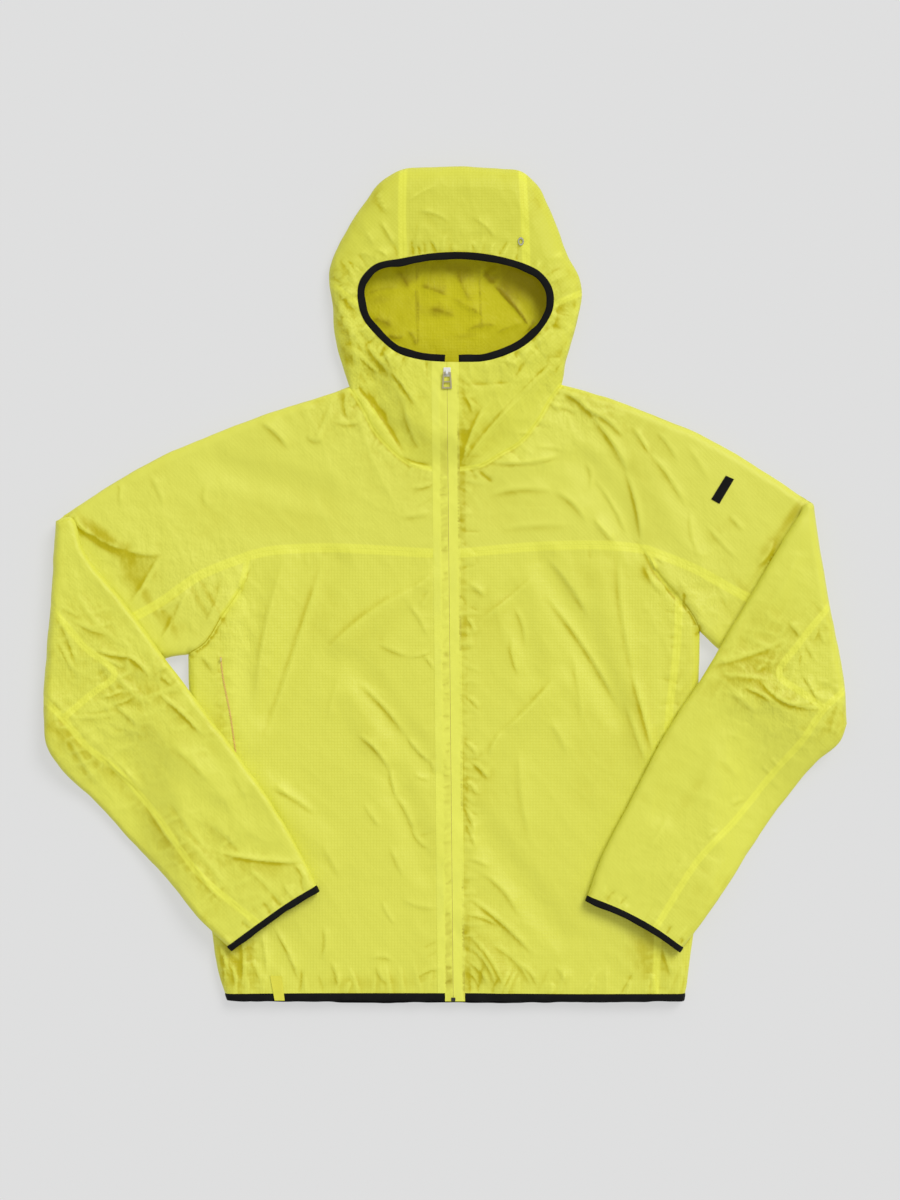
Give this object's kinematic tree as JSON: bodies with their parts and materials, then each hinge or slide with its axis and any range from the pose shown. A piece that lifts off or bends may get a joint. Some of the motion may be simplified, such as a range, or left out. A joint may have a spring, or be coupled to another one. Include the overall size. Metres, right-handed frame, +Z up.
{
  "type": "hooded windshell jacket",
  "caption": "Light padded zip jacket with a bound hood, laid on its back with both sleeves folded over the front; the zip's pull tab swings.",
  "frame": {"origin": "middle of the laid jacket's outline, on the surface it lies on", "axes": "+X towards the wearer's left side, +Y towards the hood, +Z up from the surface through the front"},
  "size_m": [0.882, 0.9208, 0.0341],
  "materials": {
    "front_cloth": "fine ripstop, low sheen",
    "yoke_cloth": "fine ripstop, low sheen",
    "sleeve_cloth": "fine ripstop, low sheen",
    "hood_cloth": "fine ripstop, low sheen",
    "zip_tape": "woven tape",
    "zip_coil": "nylon coil",
    "binding": "matt black elastic",
    "slider_metal": "satin",
    "dark_plastic": "matt"
  },
  "bodies": {
    "jacket": {"back_panel": "front_cloth", "right_front": "front_cloth", "left_front": "front_cloth", "right_side_panel": "front_cloth", "left_side_panel": "front_cloth", "right_yoke": "yoke_cloth", "left_yoke": "yoke_cloth", "right_underarm": "yoke_cloth", "left_underarm": "yoke_cloth", "right_sleeve_back": "sleeve_cloth", "left_sleeve_back": "sleeve_cloth", "right_elbow_patch": "sleeve_cloth", "left_elbow_patch": "sleeve_cloth", "right_undersleeve": "sleeve_cloth", "left_undersleeve": "sleeve_cloth", "right_forearm_front": "sleeve_cloth", "left_forearm_front": "sleeve_cloth", "right_cuff_binding": "binding", "left_cuff_binding": "binding", "hood_centre": "hood_cloth", "right_hood_side": "hood_cloth", "left_hood_side": "hood_cloth", "right_hood_chin": "hood_cloth", "left_hood_chin": "hood_cloth", "hood_binding": "binding", "hem_binding": "binding", "right_zip_tape": "zip_tape", "left_zip_tape": "zip_tape", "zip_chain": "zip_coil", "zip_slider": "slider_metal", "zip_box": "dark_plastic", "pocket_zip": "zip_coil", "pocket_slider": "slider_metal", "sleeve_label": "dark_plastic", "hem_label": "yoke_cloth", "hood_eyelet": "slider_metal"},
    "pull": {"zip_pull": "slider_metal"}
  },
  "joints": [
    {"name": "pull_swing", "type": "hinge", "parent": "jacket", "child": "pull", "pos_m": [0.00109, 0.232, 0.03156], "axis": [-1, 0, 0], "range_deg": [0, 160]}
  ]
}
